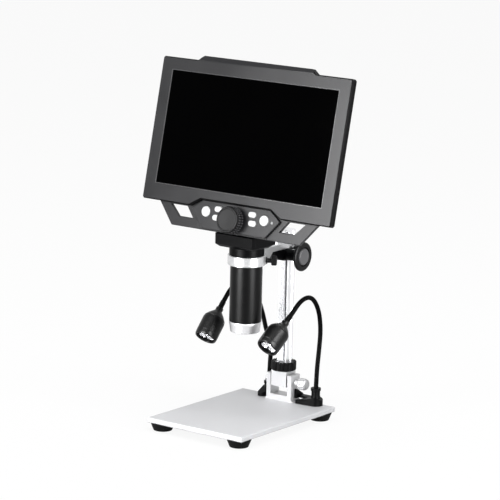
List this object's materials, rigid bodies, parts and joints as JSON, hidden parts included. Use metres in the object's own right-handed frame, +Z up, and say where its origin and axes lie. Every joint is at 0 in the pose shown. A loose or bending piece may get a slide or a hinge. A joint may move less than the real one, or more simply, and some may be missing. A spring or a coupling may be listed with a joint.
{
  "type": "lcd digital microscope",
  "caption": "Desk microscope with a lens tube under a wide leaning display, on a rack-and-pinion column with a flat base, side lamps on goosenecks and a focus wheel.",
  "frame": {"origin": "on the table under the middle of the base plate", "axes": "+Z up, along the column; +Y away from the user; +X to the right of the user who faces the display"},
  "size_m": [0.2248, 0.1597, 0.3544],
  "materials": {
    "plate_aluminium": "satin anodised sheet",
    "bright_metal": "bright machined",
    "steel": "plain",
    "black_rubber": "moulded",
    "black_plastic": "moulded, fine grain",
    "grey_plastic": "moulded, fine grain",
    "white_plastic": "moulded",
    "nylon": "turned",
    "black_glass": "glossy black cover",
    "clear": "clear",
    "board": "circuit board",
    "cell": "wrapped cell",
    "screen_module": "panel module"
  },
  "bodies": {
    "stand": {"base_plate": "plate_aluminium", "foot_front_left": "black_rubber", "foot_front_right": "black_rubber", "foot_rear_left": "black_rubber", "foot_rear_right": "black_rubber", "foot_screws": "steel", "plate_screws": "steel", "hinge_bracket": "bright_metal", "tilt_nut": "steel", "lamp_foot_left": "black_plastic", "lamp_foot_right": "black_plastic", "gooseneck_left": "black_rubber", "gooseneck_right": "black_rubber", "lamp_housing_left": "black_plastic", "lamp_housing_right": "black_plastic", "lamp_led_board_left": "board", "lamp_led_board_right": "board", "lamp_lens_left": "clear", "lamp_lens_right": "clear"},
    "tilt_screw": {"tilt_thumbscrew": "bright_metal"},
    "column": {"pivot_block": "bright_metal", "pivot_washers": "steel", "column_rail": "bright_metal", "column_rack": "bright_metal", "column_cap": "black_plastic"},
    "clamp_nut": {"ring_nut": "black_plastic"},
    "carriage": {"carriage_body": "black_plastic", "guide_pad": "nylon", "ring_arm": "bright_metal", "arm_screws": "steel"},
    "pinion": {"pinion_shaft": "steel", "focus_knob_left": "black_plastic", "focus_knob_right": "black_plastic"},
    "ring_clamp": {"ring_clamp_screw": "black_plastic"},
    "head": {"neck_collar": "black_plastic", "neck_block": "black_plastic", "lens_tube": "black_plastic", "lens_tip": "bright_metal", "led_ring": "board", "sensor_board": "board", "front_bezel": "grey_plastic", "display_glass": "black_glass", "lcd_module": "screen_module", "back_cover": "grey_plastic", "wing_frame": "grey_plastic", "control_panel": "grey_plastic", "button_board": "board", "indicator_light": "clear", "main_board": "board", "battery": "cell", "cover_screws": "steel"},
    "wheel": {"focus_wheel": "black_plastic"},
    "lens": {"lens_carrier": "black_plastic", "objective_lens": "clear"},
    "button_left_round_key": {"button_left_round": "white_plastic"},
    "button_left_upper_key": {"button_left_upper": "white_plastic"},
    "button_left_lower_key": {"button_left_lower": "white_plastic"},
    "button_right_round_key": {"button_right_round": "white_plastic"},
    "button_right_upper_key": {"button_right_upper": "white_plastic"},
    "button_right_lower_key": {"button_right_lower": "white_plastic"}
  },
  "joints": [
    {"name": "column_tilt", "type": "hinge", "parent": "stand", "child": "column", "pos_m": [0, 0.06715, 0.0318], "axis": [1, 0, 0], "range_deg": [-15, 15]},
    {"name": "tilt_screw_turn", "type": "hinge", "parent": "stand", "child": "tilt_screw", "pos_m": [0, 0.06715, 0.0318], "axis": [1, 0, 0], "range_deg": [-180, 0]},
    {"name": "clamp_nut_turn", "type": "hinge", "parent": "column", "child": "clamp_nut", "pos_m": [0, 0.06715, 0.046], "axis": [0, 0, 1], "range_deg": [0, 180]},
    {"name": "carriage_slide", "type": "slide", "parent": "column", "child": "carriage", "axis": [0, 0, 1], "range_m": [-0.065, 0.012]},
    {"name": "pinion_turn", "type": "hinge", "parent": "carriage", "child": "pinion", "pos_m": [0, 0.05655, 0.16225], "axis": [1, 0, 0], "range_deg": [-169, 892]},
    {"name": "ring_clamp_turn", "type": "hinge", "parent": "carriage", "child": "ring_clamp", "pos_m": [0, 0.00175, 0.16325], "axis": [0.766, 0.6428, 0], "range_deg": [0, 180]},
    {"name": "head_swivel", "type": "hinge", "parent": "carriage", "child": "head", "pos_m": [0, 0.00175, 0.16225], "axis": [0, 0, 1], "range_deg": [-45, 45]},
    {"name": "wheel_turn", "type": "hinge", "parent": "head", "child": "wheel", "pos_m": [0, -0.0223, 0.20569], "axis": [0, -0.9756, 0.2193], "range_deg": [-545, 545]},
    {"name": "lens_focus", "type": "slide", "parent": "head", "child": "lens", "axis": [0, 0, 1], "range_m": [-0.006, 0.006]},
    {"name": "button_left_round_press", "type": "slide", "parent": "head", "child": "button_left_round_key", "axis": [0, 0.9756, -0.2193], "range_m": [0, 0.0006], "stiffness_N_per_m": 300, "springref_m": -0.0004},
    {"name": "button_left_upper_press", "type": "slide", "parent": "head", "child": "button_left_upper_key", "axis": [0, 0.9756, -0.2193], "range_m": [0, 0.0006], "stiffness_N_per_m": 300, "springref_m": -0.0004},
    {"name": "button_left_lower_press", "type": "slide", "parent": "head", "child": "button_left_lower_key", "axis": [0, 0.9756, -0.2193], "range_m": [0, 0.0006], "stiffness_N_per_m": 300, "springref_m": -0.0004},
    {"name": "button_right_round_press", "type": "slide", "parent": "head", "child": "button_right_round_key", "axis": [0, 0.9756, -0.2193], "range_m": [0, 0.0006], "stiffness_N_per_m": 300, "springref_m": -0.0004},
    {"name": "button_right_upper_press", "type": "slide", "parent": "head", "child": "button_right_upper_key", "axis": [0, 0.9756, -0.2193], "range_m": [0, 0.0006], "stiffness_N_per_m": 300, "springref_m": -0.0004},
    {"name": "button_right_lower_press", "type": "slide", "parent": "head", "child": "button_right_lower_key", "axis": [0, 0.9756, -0.2193], "range_m": [0, 0.0006], "stiffness_N_per_m": 300, "springref_m": -0.0004}
  ],
  "couplings": [
    {"joint": "pinion_turn", "follows": "carriage_slide", "rad_per_m": -238.1},
    {"joint": "wheel_turn", "follows": "lens_focus", "rad_per_m": 1570.8}
  ]
}
